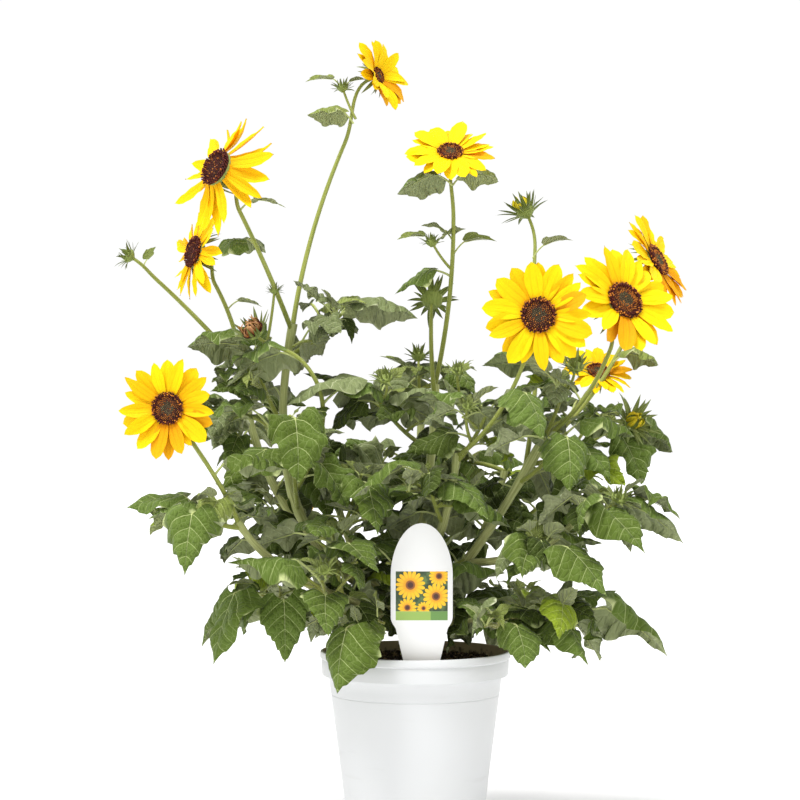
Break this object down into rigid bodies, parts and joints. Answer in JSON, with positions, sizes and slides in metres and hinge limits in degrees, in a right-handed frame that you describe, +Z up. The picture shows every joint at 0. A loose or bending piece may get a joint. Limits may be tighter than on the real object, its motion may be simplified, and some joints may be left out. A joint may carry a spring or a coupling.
{
  "type": "potted branching sunflower plant",
  "caption": "Bushy branching sunflower in a round white nursery pot, with open yellow blooms on tall stalks above dense toothed leaves, and a plant label at the front.",
  "frame": {"origin": "centre of the pot's flat underside", "axes": "+Z up the plant from the pot's underside, +X to the right seen from the label's side, the label on the -Y side"},
  "size_m": [0.5067, 0.3671, 0.7097],
  "materials": {
    "pot_plastic": "moulded white nursery-pot plastic with a soft satin sheen",
    "potting_mix": "moist dark peat and bark potting mix",
    "label_plastic": null,
    "green_stem": "olive-green stem skin, ribbed and finely hairy, reddish low down",
    "leaves": "matte mid to dark green leaf with paler veins and a greyish underside",
    "blooms": "bright yellow rays around a dark maroon-brown disc"
  },
  "bodies": {
    "root": {"pot": "pot_plastic", "potting_mix": "potting_mix", "plant_label": "label_plastic", "main_stem": "green_stem", "bough_left": "green_stem", "bough_right": "green_stem", "bough_centre": "green_stem", "bough_centre_right": "green_stem", "bough_left_back": "green_stem", "bough_far_left": "green_stem", "bough_low_left": "green_stem", "bough_front_left": "green_stem", "bough_right_low": "green_stem", "bough_low_right": "green_stem", "bough_back_left": "green_stem", "bough_back_right": "green_stem", "bough_back": "green_stem", "bloom_top_left": "blooms", "bloom_summit": "blooms", "bloom_left": "blooms", "bloom_low_left": "blooms", "bloom_centre": "blooms", "bloom_right_front": "blooms", "bloom_right": "blooms", "bloom_far_right": "blooms", "bloom_right_rear": "blooms", "bloom_back": "blooms", "bloom_back_left": "blooms", "bud_far_left": "blooms", "spent_left": "blooms", "bud_centre": "blooms", "bud_right_high": "blooms", "foliage_upper_left": "leaves", "foliage_left_high": "leaves", "foliage_left_shoulder": "leaves", "foliage_left_rear": "leaves", "foliage_far_left": "leaves", "foliage_low_left": "leaves", "foliage_low_left_front": "leaves", "foliage_front_left": "leaves", "foliage_front_rim": "leaves", "foliage_left_inner": "leaves", "foliage_centre_left": "leaves", "foliage_centre_front": "leaves", "foliage_centre_right": "leaves", "foliage_right_top": "leaves", "foliage_right_mid": "leaves", "foliage_right_edge": "leaves", "foliage_right_low": "leaves", "foliage_right_low_front": "leaves", "foliage_low_right": "leaves", "foliage_low_right_front": "leaves", "foliage_front_centre": "leaves", "foliage_back_left": "leaves", "foliage_back": "leaves", "foliage_back_top": "leaves", "foliage_back_right": "leaves", "foliage_back_low_left": "leaves", "foliage_back_low_right": "leaves"}
  },
  "joints": []
}
